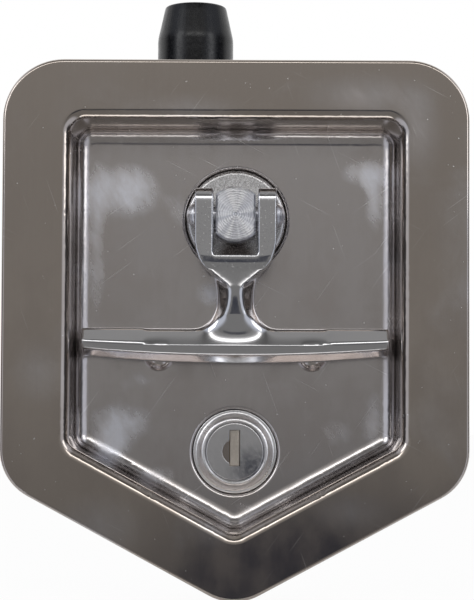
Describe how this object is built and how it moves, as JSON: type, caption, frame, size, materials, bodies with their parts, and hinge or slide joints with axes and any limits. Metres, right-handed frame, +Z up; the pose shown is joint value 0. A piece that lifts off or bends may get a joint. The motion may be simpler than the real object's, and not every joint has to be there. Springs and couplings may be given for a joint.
{
  "type": "folding t-handle latch",
  "caption": "Recessed folding T-handle latch: a drawn pan holds a T-handle on a turning hub and a key lock; behind the panel a bent cam arm carries a roller.",
  "frame": {"origin": "on the back of the flange, in the middle of the four mounting studs", "axes": "+X to the right seen from the front, +Y backward along the studs, +Z up"},
  "size_m": [0.1206, 0.0481, 0.1609],
  "materials": {
    "stainless_pan": "satin, faintly brushed",
    "stud_steel": "turned",
    "hub_steel": "turned and lightly polished",
    "handle_chrome": "polished",
    "pad_plastic": "plain",
    "bush_bronze": "sintered",
    "spring_steel": "blued",
    "plated_steel": "zinc plated",
    "roller_plastic": "semi-gloss",
    "lock_chrome": "polished",
    "gasket_rubber": "plain",
    "plug_metal": "satin",
    "wafer_brass": "stamped",
    "shutter_steel": "satin",
    "screw_steel": "blackened"
  },
  "bodies": {
    "housing": {"pan": "stainless_pan", "mounting_studs": "stud_steel", "hub_bush": "bush_bronze", "lock_body": "lock_chrome", "lock_gasket": "gasket_rubber", "lock_nut": "plated_steel"},
    "hub": {"hub_spindle": "hub_steel", "hinge_pin": "hub_steel", "hub_pad": "pad_plastic", "disc_spring": "spring_steel", "stop_washer": "plated_steel", "cam_plate": "plated_steel", "cam_washer": "plated_steel", "cam_nut": "plated_steel", "roller_axle": "stud_steel", "roller_washer": "stud_steel"},
    "handle": {"t_handle": "handle_chrome"},
    "roller": {"cam_roller": "roller_plastic"},
    "lock": {"lock_plug": "plug_metal", "wafers": "wafer_brass", "lock_cam": "plated_steel", "lock_cam_washer": "plated_steel", "lock_cam_screw": "screw_steel"},
    "shutter": {"dust_shutter": "shutter_steel"}
  },
  "joints": [
    {"name": "hub_turn", "type": "hinge", "parent": "housing", "child": "hub", "pos_m": [0, 0, 0.0201], "axis": [0, -1, 0], "range_deg": [-2, 2]},
    {"name": "handle_fold", "type": "hinge", "parent": "hub", "child": "handle", "pos_m": [0, 0.0044, 0.0201], "axis": [-1, 0, 0], "range_deg": [0, 90]},
    {"name": "roller_spin", "type": "hinge", "parent": "hub", "child": "roller", "pos_m": [-0.0116, 0.0361, 0.066], "axis": [0, 0, 1], "continuous": true},
    {"name": "key_turn", "type": "hinge", "parent": "housing", "child": "lock", "pos_m": [0, 0, -0.0417], "axis": [0, -1, 0], "range_deg": [0, 90]},
    {"name": "shutter_swing", "type": "hinge", "parent": "lock", "child": "shutter", "pos_m": [0.00098, 0.01655, -0.0407], "axis": [0, 0, -1], "range_deg": [0, 80], "stiffness_Nm_per_rad": 0.0005, "springref_deg": -17.19}
  ]
}
